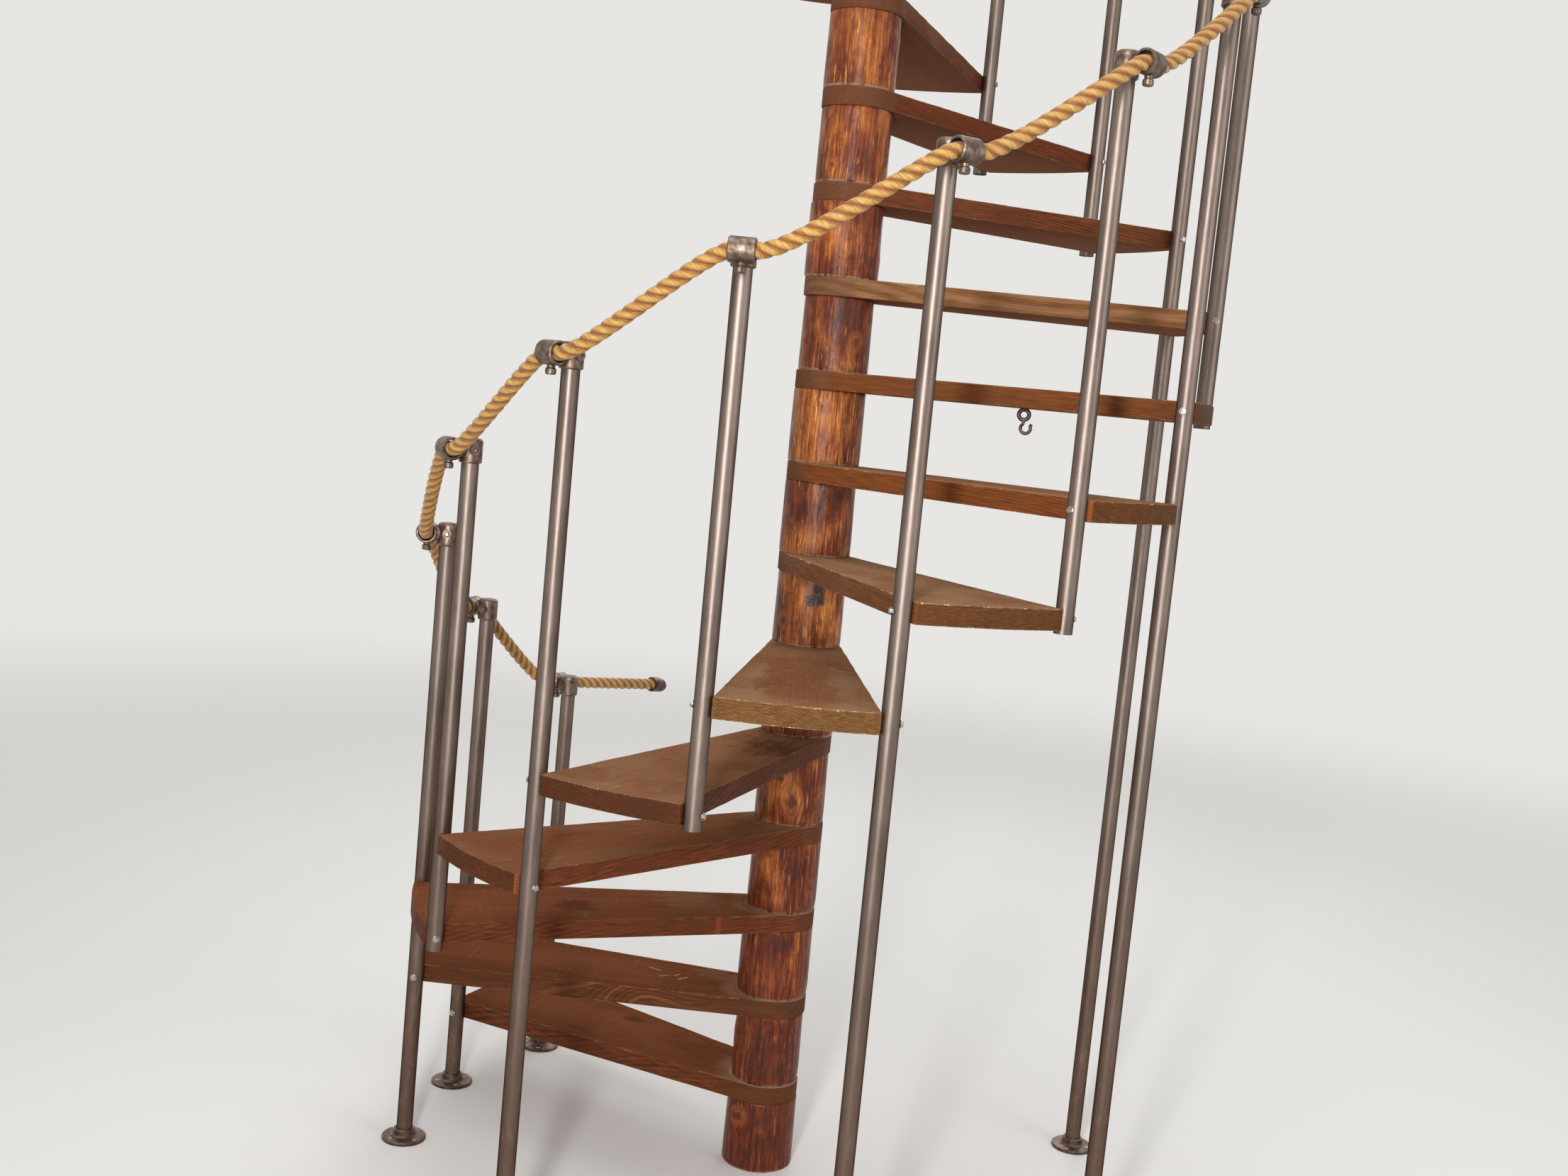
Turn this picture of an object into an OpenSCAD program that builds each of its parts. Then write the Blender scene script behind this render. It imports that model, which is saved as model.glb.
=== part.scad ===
/* [Stair] */
// Height from one tread top to the next
rise = 190; // [170:1:215]
// Turn from one tread to the next, in degrees
step_angle = 24; // [22:0.5:28]
// Direction of the lowest tread, in degrees from +X
first_angle = 150; // [0:1:359]

/* [Treads] */
// Thickness of a tread
tread_t = 38; // [30:1:50]
// How far the curved outer end of a tread reaches past the circle of the balusters
tread_past = 15; // [5:1:30]
// Radius on the upper and lower arris of the outer end
arris_r = 4; // [1:0.5:8]
// Diameter of the round hub of a tread
hub_d = 148; // [120:1:180]

/* [Newel] */
// Mean diameter of the peeled logs
log_d = 150; // [120:1:180]
// How far single logs are thicker or thinner than the mean
log_vary = 4; // [0:0.5:8]
// Difference between the butt end and the top end of one log
log_taper = 3; // [0:0.5:8]
// Eased edge at both ends of a log
log_ease = 2.5; // [1:0.5:6]
// Outer diameter of the rod that the logs and treads are threaded on
rod_d = 33.4; // [20:0.1:48]
// Wall of the rod
rod_wall = 3.4; // [2:0.1:6]
// Radial clearance round the rod
rod_clear = 0.3; // [0.2:0.1:2]
// Diameter of the plate that the rod stands on
foot_d = 118; // [90:1:118]
// Thickness of that plate
foot_t = 8; // [5:0.5:14]
// Bolt circle of the foot plate
foot_pcd = 88; // [74:1:96]
// Diameter of the bolt holes in the foot plate
foot_hole_d = 9; // [6:0.5:12]
// Width across the flats of the nut on the rod
nut_af = 50; // [46:1:60]
// Thickness of that nut
nut_t = 18; // [10:1:22]
// Thickness of the wooden cap over the nut
cap_t = 42; // [34:1:70]

/* [Balusters] */
// Radius of the circle that the balusters stand on
rail_r = 760; // [720:1:850]
// Outer diameter of a baluster pipe
pipe_d = 33.4; // [26:0.1:42]
// Wall of a baluster pipe
pipe_wall = 3.4; // [2:0.1:5]
// Gap between a pipe and the sides of the treads it is bolted to
pipe_gap = 0.25; // [0.1:0.05:1]
// How far a short baluster hangs below its lower tread
pipe_drop = 7; // [0:0.5:30]

/* [Rope rings] */
// Height of the rope rings above the lower of the two treads
rope_h = 925; // [800:1:1050]
// Distance from the pipe axis out to the rope ring axis
ring_arm = 42; // [39:0.5:60]
// Inner diameter of a rope ring
ring_bore = 34; // [31:0.5:38]
// Wall of the cast sockets
socket_wall = 4.6; // [3:0.1:8]
// Length of a rope ring along the rope
ring_len = 46; // [30:1:60]
// How far the pipe socket reaches below the ring axis
socket_below = 25; // [18:1:40]
// How far the pipe socket reaches above the ring axis
socket_above = 22; // [16:1:40]
// Thickness of the closed top of the pipe socket
socket_top = 5; // [3:0.5:10]
// Radial clearance of a pipe in a cast socket
socket_clear = 0.3; // [0.2:0.05:0.5]
// Chamfer on the lips of the cast sockets
lip = 2; // [0.5:0.5:3]
// Radius on the closed top of the pipe socket
crown = 7; // [3:0.5:10]
// Diameter of the set screw bosses
boss_d = 19; // [12:0.5:22]
// How far the set screw boss on the pipe socket stands proud
boss_h = 5; // [3:0.5:12]
// How far the set screw boss under the rope ring stands proud
ring_boss_h = 16; // [8:0.5:22]
// Diameter of that boss at its waist, next to the ring
boss_waist_d = 14.5; // [12:0.5:19]
// Diameter of the hole in a set screw boss
boss_hole_d = 8; // [5:0.5:10]
// How much lower the ring of the lowest baluster sits than the line of the others
first_drop = 14; // [0:1:40]

/* [Floor flanges] */
// Diameter of a floor flange
flange_d = 93; // [80:1:120]
// Thickness of the flange rim
flange_t = 7; // [5:0.5:12]
// Height of the raised hub of the flange
flange_h = 24; // [16:1:40]
// Web left under the pipe in the flange
flange_web = 3; // [2:0.5:6]
// Bolt circle of a floor flange
flange_pcd = 70; // [64:1:78]
// Diameter of the bolt holes in a floor flange
flange_hole_d = 7; // [5:0.5:9]

/* [Rope] */
// Diameter of the rope
rope_d = 28; // [24:0.5:30]
// Droop of the rope between two rings
rope_sag = 9; // [0:1:40]
// Slope of the rope inside a ring, in degrees
ring_slope = 5; // [0:0.5:6]
// How far past a ring the rope keeps bending towards the next one
rope_bend = 50; // [40:1:110]
// Distance from the newel axis to the wall that the rope's lower end meets
wall_dist = 825; // [800:1:950]
// Angle from the direction of that wall to the lowest tread, in degrees
wall_turn = 60; // [45:1:75]
// Length of the wall socket on its short side
cup_len = 9; // [6:1:40]
// Length of the rope's free end past the top ring
tail_len = 95; // [40:1:200]

/* [Hidden] */
$fn = 72;
SMALL = 0.01;
// Treads from the floor to the upper floor
tread_count = 14;
// Gap left between the rope and the metal that it lies on
rope_gap = 0.3;
hub_r = hub_d / 2;
pipe_r = pipe_d / 2;
tread_reach = rail_r + tread_past;
rod_bore_d = rod_d + 2 * rod_clear;
// A tread's straight sides run from the hub past the pipes, and this is their slant
side_slant = step_angle / 2 - asin((hub_r + pipe_r + pipe_gap) / rail_r);
// Half the angle that the outer end of a tread takes up
end_half_angle = side_slant + asin(hub_r / tread_reach);
// A log fills the height between two treads
log_len = rise - tread_t;
foot_hub_d = rod_d + 14;
foot_hub_h = 26;
foot_recess_d = foot_d + 2;
foot_recess_h = foot_hub_h + 2;
rod_seat = 4;
nut_recess_d = nut_af / cos(30) + 4;
rod_top = newel_top() + nut_t + 4;
socket_r = pipe_r + socket_clear + socket_wall;
ring_r = ring_bore / 2 + socket_wall;
flange_hub_r = pipe_r + socket_clear + 5;
// The rope slopes through each ring and lies on its lower lip
rope_rest = (ring_bore - rope_d) / 2 - rope_gap - ring_len / 2 * sin(ring_slope);
// The wall socket that takes the rope's lower end
wall_angle = first_angle - wall_turn;
wall_way = [cos(wall_angle), sin(wall_angle), 0];
wall_web = 3;
cup_bore_r = rope_d / 2 + rope_gap;
cup_r = cup_bore_r + socket_wall;
// Balusters counted from the foot of the stair, number 0 standing before the first tread.
// Those named here run down to a floor flange and the rest end under their lower tread.
floor_posts = [0, 1, 2, 4, 6, 8, 10];
short_posts = [3, 5, 7, 9, 11, 12, 13, 14];
// How far each cast fitting is turned on its pipe, away from pointing straight out
fitting_turn = [5, 0, 0, 0, -9, 10, 26, 19, 10, 8, 5, 0, 0, 0, 0];
ROPE_SIDES = 10;
SPAN_STEPS = 6;

// Heights and directions

function tread_z(n) = n * rise;
function tread_angle(n) = first_angle + (n - 1) * step_angle;
function post_angle(n) = first_angle + (n - 0.5) * step_angle;
function post_at(n) = rail_r * [cos(post_angle(n)), sin(post_angle(n)), 0];
function ring_z(n) = tread_z(n) + rope_h - (n == 0 ? first_drop : 0);
function newel_top() = tread_z(tread_count + 1) - tread_t;
function arm_angle(n) = post_angle(n) + fitting_turn[n];

// A point of the rope where it lies in ring n, s along the rope
function in_ring(n, s) =
    post_at(n)
    + ring_arm * [cos(arm_angle(n)), sin(arm_angle(n)), 0]
    + s * ring_dir(n)
    + [0, 0, ring_z(n) - rope_rest];
function ring_dir(n) =
    [-sin(arm_angle(n)) * cos(ring_slope), cos(arm_angle(n)) * cos(ring_slope), sin(ring_slope)];

// A curve from a to b that leaves along da and arrives along db
function curve(a, da, b, db, t) =
    pow(1 - t, 3) * a
    + 3 * pow(1 - t, 2) * t * (a + rope_bend * da)
    + 3 * (1 - t) * t * t * (b - rope_bend * db)
    + t * t * t * b;

// The rope from ring n up to the next one, with its droop
function rope_span(n) = [
    for (i = [0:SPAN_STEPS])
    let (t = i / SPAN_STEPS)
    curve(
        in_ring(n, ring_len / 2), ring_dir(n),
        in_ring(n + 1, -ring_len / 2), ring_dir(n + 1), t
    ) - [0, 0, 4 * rope_sag * t * (1 - t)]
];

// Where the straight run from the lowest ring meets the wall. It goes against the climb,
// so it is negative.
function wall_run() =
    (wall_dist - in_ring(0, 0) * wall_way) / (ring_dir(0) * wall_way);
// Angle at which that run meets the wall, and the depth that the slant takes from the socket
function wall_slant() = wall_angle - arm_angle(0) + 90;
function cup_floor() = cup_bore_r * tan(wall_slant()) + wall_web;
function rope_start() = wall_run() + cup_floor() + rope_gap;
function rope_path() = concat(
    [in_ring(0, rope_start()), in_ring(0, rope_start() / 2), in_ring(0, -ring_len / 2)],
    [for (n = [0:tread_count - 1]) each rope_span(n)],
    [in_ring(tread_count, ring_len / 2), in_ring(tread_count, ring_len / 2 + tail_len)]
);

function unit(v) = v / norm(v);
function path_dir(path, i) =
    unit(path[min(i + 1, len(path) - 1)] - path[max(i - 1, 0)]);

// A tube of the given radius along a path that is nowhere upright
module sweep_round(path, r, sides) {
    points = [
        for (i = [0:len(path) - 1])
        let (
            dir = path_dir(path, i),
            side = unit(cross(dir, [0, 0, 1])),
            lift = cross(side, dir)
        )
        for (j = [0:sides - 1])
        path[i] + r * (cos(360 * j / sides) * side + sin(360 * j / sides) * lift)
    ];
    walls = [
        for (i = [0:len(path) - 2])
        for (j = [0:sides - 1])
        let (k = (j + 1) % sides)
        [i * sides + j, (i + 1) * sides + j, (i + 1) * sides + k, i * sides + k]
    ];
    start_face = [for (j = [0:sides - 1]) j];
    end_face = [for (j = [sides - 1:-1:0]) (len(path) - 1) * sides + j];
    polyhedron(points, concat(walls, [start_face, end_face]), convexity = 20);
}

// Treads

// Plan of the wedge: straight sides that leave the hub and pass the pipes
module wedge_plan() {
    far = 2 * tread_reach;
    edge = far * [cos(side_slant), sin(side_slant)];
    root = hub_r * [-sin(side_slant), cos(side_slant)];
    polygon([
        [root[0], -root[1]],
        [root[0] + edge[0], -root[1] - edge[1]],
        [root[0] + edge[0], root[1] + edge[1]],
        root
    ]);
}

// Disc as thick as a tread, with its outer rim rounded above and below
module arris_disc() {
    rotate_extrude($fn = 180)
        difference() {
            square([tread_reach, tread_t]);
            arris_cut(0, 0);
            arris_cut(tread_t, 1);
        }
}

module arris_cut(z, top) {
    corner_z = z + (top == 1 ? -arris_r : arris_r);
    difference() {
        translate([tread_reach - arris_r, top == 1 ? z - arris_r : z - SMALL])
            square([arris_r + SMALL, arris_r + SMALL]);
        translate([tread_reach - arris_r, corner_z])
            circle(r = arris_r, $fn = 32);
    }
}

module tread(n) {
    color([0.42, 0.24, 0.14])
        translate([0, 0, tread_z(n) - tread_t])
            rotate(tread_angle(n))
                difference() {
                    union() {
                        cylinder(h = tread_t, d = hub_d);
                        intersection() {
                            arris_disc();
                            linear_extrude(tread_t)
                                wedge_plan();
                        }
                    }
                    translate([0, 0, -1])
                        cylinder(h = tread_t + 2, d = rod_bore_d);
                }
}

// Newel

// Each log was cut from another tree, so its diameter strays a little
function log_dia(n) = log_d + log_vary * sin(n * 137);

module newel_log(n) {
    low_r = (log_dia(n) + log_taper / 2) / 2;
    high_r = (log_dia(n) - log_taper / 2) / 2;
    color([0.60, 0.29, 0.11])
        translate([0, 0, tread_z(n - 1)])
            difference() {
                rotate_extrude()
                    polygon([
                        [rod_bore_d / 2, 0],
                        [low_r - log_ease, 0],
                        [low_r, log_ease],
                        [high_r, log_len - log_ease],
                        [high_r - log_ease, log_len],
                        [rod_bore_d / 2, log_len]
                    ]);
                if (n == 1)
                    translate([0, 0, -1])
                        cylinder(h = foot_recess_h + 1, d = foot_recess_d);
            }
}

module newel_rod() {
    color([0.35, 0.34, 0.35])
        translate([0, 0, rod_seat])
            difference() {
                cylinder(h = rod_top - rod_seat, d = rod_d);
                translate([0, 0, -1])
                    cylinder(h = rod_top + 2, d = rod_d - 2 * rod_wall);
            }
}

module newel_foot_plate() {
    color([0.22, 0.21, 0.21])
        difference() {
            union() {
                cylinder(h = foot_t, d = foot_d);
                cylinder(h = foot_hub_h, d = foot_hub_d);
            }
            translate([0, 0, rod_seat])
                cylinder(h = foot_hub_h, d = rod_bore_d);
            for (a = [45:90:315])
                rotate(a)
                    translate([foot_pcd / 2, 0, -1])
                        cylinder(h = foot_t + 2, d = foot_hole_d, $fn = 32);
        }
}

module newel_nut() {
    color([0.45, 0.45, 0.46])
        translate([0, 0, newel_top()])
            difference() {
                cylinder(h = nut_t, d = nut_af / cos(30), $fn = 6);
                translate([0, 0, -1])
                    cylinder(h = nut_t + 2, d = rod_bore_d);
            }
}

// Turned cap that hides the nut, with a rounded upper edge
module newel_cap() {
    round_r = 10;
    color([0.42, 0.24, 0.14])
        translate([0, 0, newel_top()])
            difference() {
                rotate_extrude()
                    union() {
                        square([hub_r, cap_t - round_r]);
                        square([hub_r - round_r, cap_t]);
                        translate([hub_r - round_r, cap_t - round_r])
                            intersection() {
                                circle(r = round_r);
                                square(round_r);
                            }
                    }
                translate([0, 0, -1])
                    cylinder(h = rod_top - newel_top() + 3, d = nut_recess_d);
            }
}

// Balusters

module pipe(n, foot_z) {
    top_z = ring_z(n) + socket_above - socket_top - socket_clear;
    color([0.40, 0.38, 0.38])
        translate(post_at(n) + [0, 0, foot_z])
            difference() {
                cylinder(h = top_z - foot_z, d = pipe_d);
                translate([0, 0, -1])
                    cylinder(h = top_z - foot_z + 2, d = pipe_d - 2 * pipe_wall);
            }
}

module floor_post(n) {
    pipe(n, flange_web + socket_clear);
}

module short_balusters() {
    for (n = short_posts)
        pipe(n, tread_z(n) - tread_t - pipe_drop);
}

module flange_body() {
    difference() {
        rotate_extrude()
            polygon([
                [0, 0],
                [flange_d / 2, 0],
                [flange_d / 2, flange_t - 2],
                [flange_d / 2 - 2, flange_t],
                [flange_hub_r + 5, flange_t + 2],
                [flange_hub_r + 1.5, flange_t + 5],
                [flange_hub_r, flange_h - 2],
                [flange_hub_r - 2, flange_h],
                [0, flange_h]
            ]);
        translate([0, 0, flange_web])
            cylinder(h = flange_h, r = pipe_r + socket_clear);
        for (a = [45:90:315])
            rotate(a)
                translate([flange_pcd / 2, 0, -1])
                    cylinder(h = flange_t + 6, d = flange_hole_d, $fn = 32);
    }
}

module floor_flanges() {
    color([0.16, 0.15, 0.15])
        for (n = floor_posts)
            translate(post_at(n))
                rotate(post_angle(n))
                    flange_body();
}

// Rope rings

// Outer form of a rope ring, with chamfered lips
module ring_form() {
    half = ring_len / 2;
    rotate([90, 0, 0])
        rotate_extrude()
            polygon([
                [0, -half],
                [ring_r - lip, -half],
                [ring_r, lip - half],
                [ring_r, half - lip],
                [ring_r - lip, half],
                [0, half]
            ]);
}

// Outer form of the pipe socket, chamfered below and rounded on its closed top
module socket_form() {
    rotate_extrude() {
        polygon([
            [0, -socket_below],
            [socket_r - lip, -socket_below],
            [socket_r, lip - socket_below],
            [socket_r, socket_above - crown],
            [0, socket_above - crown]
        ]);
        translate([0, socket_above - crown])
            square([socket_r - crown, crown]);
        translate([socket_r - crown, socket_above - crown])
            intersection() {
                circle(r = crown);
                square(crown);
            }
    }
}

// Set screw boss under the rope ring: a knob on a narrower waist
module ring_boss() {
    knob_r = boss_d / 2;
    knob_h = ring_boss_h * 0.62;
    rotate([180, 0, 0])
        rotate_extrude()
            polygon([
                [0, 0],
                [boss_waist_d / 2, 0],
                [boss_waist_d / 2, ring_r + ring_boss_h - knob_h - 2],
                [knob_r, ring_r + ring_boss_h - knob_h],
                [knob_r, ring_r + ring_boss_h - lip],
                [knob_r - lip, ring_r + ring_boss_h],
                [0, ring_r + ring_boss_h]
            ]);
}

// One cast fitting: the pipe ends in the upright socket and the rope runs through the level one.
// The arm between them points along +X and the rope climbs along +Y.
module crossover_fitting() {
    difference() {
        union() {
            socket_form();
            translate([ring_arm, 0, 0])
                ring_form();
            rotate([0, 90, 0])
                cylinder(h = ring_arm, d = socket_r * 1.5);
            rotate([-90, 0, 0])
                cylinder(h = socket_r + boss_h, d = boss_d);
            translate([ring_arm, 0, 0])
                ring_boss();
        }
        translate([0, 0, -socket_below - 1])
            cylinder(h = socket_below + 1 + socket_above - socket_top, r = pipe_r + socket_clear);
        translate([ring_arm, 0, 0])
            rotate([90, 0, 0])
                cylinder(h = ring_len + 2, d = ring_bore, center = true);
        rotate([-90, 0, 0])
            cylinder(h = socket_r + boss_h + 1, d = boss_hole_d, $fn = 32);
        translate([ring_arm, 0, -ring_r - ring_boss_h - 1])
            cylinder(h = ring_r + ring_boss_h, d = boss_hole_d, $fn = 32);
    }
}

module rope_rings() {
    color([0.24, 0.23, 0.24])
        for (n = [0:tread_count])
            translate(post_at(n) + [0, 0, ring_z(n)])
                rotate(arm_angle(n))
                    crossover_fitting();
}

// Rope

module rope_handrail() {
    color([0.80, 0.56, 0.26])
        sweep_round(rope_path(), rope_d / 2, ROPE_SIDES);
}

// Socket on the rope's lower end, cut on a slant where it meets the wall
module rope_wall_socket() {
    reach = cup_r * tan(wall_slant()) + cup_len;
    color([0.16, 0.15, 0.15])
        difference() {
            translate(in_ring(0, wall_run()))
                rotate(arm_angle(0) - 90)
                    rotate([0, 90 + ring_slope, 0])
                        translate([0, 0, -reach])
                            difference() {
                                cylinder(h = 2 * reach, r = cup_r);
                                translate([0, 0, -1])
                                    cylinder(h = reach - cup_floor() + 1, r = cup_bore_r);
                            }
            rotate(wall_angle - 90)
                translate([-3 * rail_r, wall_dist, 0])
                    cube([6 * rail_r, rail_r, 2 * rope_h]);
        }
}

tread(1);  // tread_01
tread(2);  // tread_02
tread(3);  // tread_03
tread(4);  // tread_04
tread(5);  // tread_05
tread(6);  // tread_06
tread(7);  // tread_07
tread(8);  // tread_08
tread(9);  // tread_09
tread(10);  // tread_10
tread(11);  // tread_11
tread(12);  // tread_12
tread(13);  // tread_13
tread(14);  // tread_14
newel_log(1);  // newel_log_01
newel_log(2);  // newel_log_02
newel_log(3);  // newel_log_03
newel_log(4);  // newel_log_04
newel_log(5);  // newel_log_05
newel_log(6);  // newel_log_06
newel_log(7);  // newel_log_07
newel_log(8);  // newel_log_08
newel_log(9);  // newel_log_09
newel_log(10);  // newel_log_10
newel_log(11);  // newel_log_11
newel_log(12);  // newel_log_12
newel_log(13);  // newel_log_13
newel_log(14);  // newel_log_14
newel_log(15);  // newel_log_15
newel_rod();
newel_foot_plate();
newel_nut();
newel_cap();
floor_post(0);  // floor_post_00
floor_post(1);  // floor_post_01
floor_post(2);  // floor_post_02
floor_post(4);  // floor_post_04
floor_post(6);  // floor_post_06
floor_post(8);  // floor_post_08
floor_post(10);  // floor_post_10
short_balusters();
floor_flanges();
rope_rings();
rope_handrail();
rope_wall_socket();
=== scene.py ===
import random
from math import asin, cos, degrees, exp, pi, radians, sin, sqrt, tan

import bmesh
import bpy
from mathutils import Matrix, Vector, noise


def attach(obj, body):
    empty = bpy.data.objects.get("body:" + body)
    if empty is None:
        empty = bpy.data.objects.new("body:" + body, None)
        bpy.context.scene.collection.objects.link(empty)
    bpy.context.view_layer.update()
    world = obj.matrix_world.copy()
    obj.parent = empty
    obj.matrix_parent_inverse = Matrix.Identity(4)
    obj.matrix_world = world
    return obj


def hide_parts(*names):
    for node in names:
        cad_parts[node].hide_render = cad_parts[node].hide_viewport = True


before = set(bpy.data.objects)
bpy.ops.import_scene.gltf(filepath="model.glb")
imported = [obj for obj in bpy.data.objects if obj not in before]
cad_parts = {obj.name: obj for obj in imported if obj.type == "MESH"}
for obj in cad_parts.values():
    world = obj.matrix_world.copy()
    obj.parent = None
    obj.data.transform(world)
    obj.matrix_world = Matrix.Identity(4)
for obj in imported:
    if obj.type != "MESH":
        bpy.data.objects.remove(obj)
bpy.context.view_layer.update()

# Sizes of the stair, in metres and degrees, as in the part's source
TREADS = 14
RISE = 0.190
STEP = 24.0
FIRST = 150.0
TREAD_T = 0.038
HUB_R = 0.074
RAIL_R = 0.760
TREAD_REACH = 0.775
PIPE_R = 0.0167
PIPE_GAP = 0.00025
LOG_D = 0.150
LOG_VARY = 0.004
LOG_TAPER = 0.003
LOG_EASE = 0.0025
LOG_LEN = RISE - TREAD_T
ROD_BORE_R = 0.0170
ROPE_H = 0.925
ROPE_D = 0.028
ROPE_SAG = 0.009
ROPE_BEND = 0.050
ROPE_GAP = 0.0003
RING_ARM = 0.042
RING_BORE = 0.034
RING_LEN = 0.046
RING_R = 0.0216
RING_SLOPE = 5.0
SOCKET_R = 0.0216
BOSS_H = 0.005
RING_BOSS_H = 0.016
BOSS_HOLE_R = 0.004
FIRST_DROP = 0.014
TAIL_LEN = 0.095
WALL_DIST = 0.825
WALL_ANGLE = 90.0
WALL_WEB = 0.003
FLANGE_T = 0.007
FLANGE_PCD = 0.070
FLOOR_POSTS = (0, 1, 2, 4, 6, 8, 10)
FITTING_TURN = (5, 0, 0, 0, -9, 10, 26, 19, 10, 8, 5, 0, 0, 0, 0)
SIDE_SLANT = STEP / 2 - degrees(asin((HUB_R + PIPE_R + PIPE_GAP) / RAIL_R))

# Meshes of the treads: radius and rows of an arris, radius of a corner, spacing of points along a side,
# steps round the hub and the outer arc, sides of the rod's bore
EASE = 0.0022
EASE_STEPS = 4
CORNER = 0.003
SIDE_STEP = 0.012
HUB_STEPS = 40
END_STEPS = 30
BORE_SIDES = 32

# Meshes of the logs: points round and up, heights of lumps, flutes and knots, how far the skin is sunk
# so that these stay within the log, and how far logs draw in at the foot
LOG_SIDES = 112
LOG_ROWS = 34
LUMP = 0.0009
FLUTE = 0.0005
KNOT_RISE = 0.0016
SINK = 0.0012
DRAW_IN = 0.0010
DRAW_IN_MORE = {2: 0.0032, 3: 0.0032, 4: 0.0032}

# The rope's strands: length of one turn, depth of the grooves as a share of the radius and how pointed
# they are, points across a strand, spacing of the rings, and how much the yarns cross the strands
ROPE_LAY = 0.074
GROOVE = 0.25
GROOVE_POWER = 2.3
LOBE_SIDES = 18
ROPE_STEP = 0.0040
YARN_SLANT = 2.2

# The whipping: turns, points in a turn, radius of the twine and distance from the rope's end
WHIP_TURNS = 10
WHIP_POINTS = 24
TWINE_R = 0.00085
WHIP_BACK = 0.024

# Fasteners: flats, height and washer of the lag bolts, how far the set screws are sunk, their pitch,
# sides and hex recess, and the radius and slot of the floor screws
BOLT_FLATS = 0.0105
BOLT_H = 0.0050
WASHER_R = 0.0070
SCREW_SUNK = 0.0012
SCREW_PITCH = 0.00125
SCREW_SIDES = 24
RECESS_FLATS = 0.0042
RECESS_DEPTH = 0.0035
PAN_R = 0.0050
PAN_SLOT = 0.0014

# The hook under the ninth tread: its place in the plan, radius of its eye and of its bend, and wire
HOOK_TREAD = 9
HOOK_OUT = 0.4355
HOOK_ANGLE = -28.5
HOOK_FACE = -8.0
EYE_R = 0.0100
EYE_WIRE = 0.0042
BEND_R = 0.0098
BEND_WIRE = 0.0033

# Looks of the treads from the lowest up: dust on top, a rubbed middle, dark sides, sides bleached to
# olive, bold figure on the sides, amber sides
TREAD_LOOKS = {
    "dusty": (0.08, 0.06, 0.12, 0.34, 0.62, 0.78, 0.95, 0.80, 0.60, 0.55, 0.55, 0.5, 0.5, 0.5),
    "rubbed": (1.0, 1.0, 1.0, 0.9, 0.25, 0.9, 0.15, 0.4, 0.6, 0.6, 0.6, 0.6, 0.6, 0.6),
    "shade": (0.15, 0.38, 0.14, 0.12, 0.40, 0.0, 0.24, 0.29, 0.38, 0.12, 0.05, 0.0, 0.0, 0.0),
    "olive": (0.05, 0.10, 0.0, 0.0, 0.06, 0.75, 0.40, 0.45, 0.50, 0.95, 0.10, 0.0, 0.0, 0.1),
    "wild": (0.2, 1.0, 0.06, 0.06, 0.06, 0.06, 0.06, 0.06, 0.06, 0.9, 0.06, 0.2, 0.06, 0.06),
    "warm": (0.0, 0.0, 0.0, 0.0, 0.0, 0.0, 0.35, 1.0, 0.75, 0.20, 0.0, 0.0, 0.0, 0.0),
}
# How much the arrises are worn, from the lowest tread up
WORN = (0.5, 0.5, 0.25, 0.25, 0.35, 1.0, 1.0, 0.6, 0.4, 0.4, 0.4, 0.4, 0.4, 0.4)
# Marks on single treads: x, y and radius in the tread's plan; the plug has a strength for its radius
SPOTS = {
    (1, "smudge"): (0.40, -0.06, 0.03),
    (2, "patch"): (0.133, -0.057, 0.070),
    (3, "smudge"): (0.443, 0.017, 0.060),
    (3, "patch"): (0.195, -0.048, 0.110),
    (3, "plug"): (0.158, 0.0885, 0.75),
    (5, "smudge"): (0.180, 0.095, 0.160),
    (5, "patch"): (0.120, 0.070, 0.070),
    (7, "scuff"): (0.488, 0.140, 0.034),
    (7, "patch"): (0.202, 0.060, 0.090),
}
NO_SPOT = (0.0, 0.0, 0.0001)
# Kinds of marks: tone, strength, fineness, how much finer across the grain, level where it starts
SPOT_KINDS = (
    ("smudge", (74, 46, 37), 0.52, 40, 2, 0.40),
    ("scuff", (206, 186, 166), 0.85, 60, 4.5, 0.70),
    ("patch", (144, 114, 92), 0.30, 24, 2, 0.40),
)
# Treads with bright end grain at a sawn corner, 1 beside the next tread up or -1 beside the one below,
# and its radius
SAWN_CORNERS = {4: 1, 8: -1}
SAWN_R = 0.0070
# Pale scratches on tops: tread, both ends in its plan, width
STROKES = (
    (2, (0.278, -0.038), (0.252, -0.027), 0.0030),
    (2, (0.246, 0.009), (0.229, 0.001), 0.0026),
    (2, (0.215, -0.005), (0.208, -0.019), 0.0024),
    (2, (0.203, 0.014), (0.189, -0.003), 0.0040),
    (6, (0.402, -0.030), (0.398, -0.016), 0.0024),
    (6, (0.330, 0.052), (0.352, 0.078), 0.0020),
    (6, (0.352, 0.078), (0.343, 0.100), 0.0018),
)

# How deep red each log is, from the lowest up; log 7 is kept pale partly as painted light against a pipe's
# cast shadow
DEEP = (1.0, 1.0, 1.0, 0.8, 0.4, 0.5, 0.0, 0.12, 0.0, 0.6, 0.6, 0.5, 0.3, 0.5, 0.3)
# Knots of the logs on which the photo shows some: degrees, height, radius
KNOTS = {
    4: ((-116, 0.138, 0.007), (40, 0.05, 0.012)),
    5: ((-89, 0.052, 0.019), (-108, 0.100, 0.011), (60, 0.05, 0.012)),
}
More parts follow.
